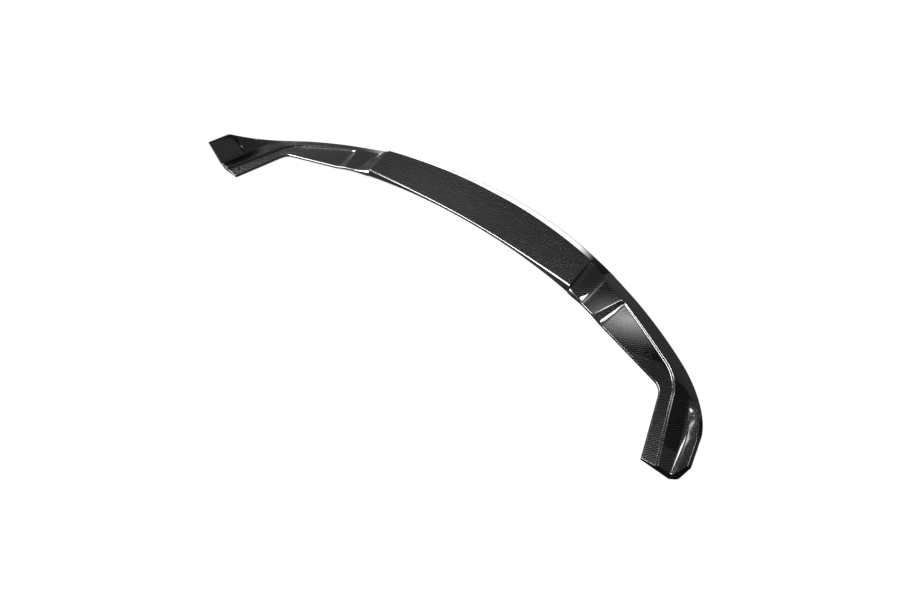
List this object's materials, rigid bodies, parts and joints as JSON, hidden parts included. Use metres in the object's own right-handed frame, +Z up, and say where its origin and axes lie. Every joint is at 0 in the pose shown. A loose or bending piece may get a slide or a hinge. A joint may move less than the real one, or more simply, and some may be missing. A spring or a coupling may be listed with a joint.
{
  "type": "front bumper lip",
  "caption": "Wide carbon-fibre lip that screws under a car's front bumper: raised centre panel, swept wings with a sunken mounting ledge, and an upright fin at each end.",
  "frame": {"origin": "middle of the footprint, on the surface that the lip rests on", "axes": "+X across the car to one side, +Y towards the front of the car, +Z up"},
  "size_m": [1.7394, 0.4659, 0.1027],
  "materials": {
    "carbon": "twill-woven carbon fibre under a gloss clear coat"
  },
  "bodies": {
    "root": {"front_lip": "carbon"}
  },
  "joints": []
}
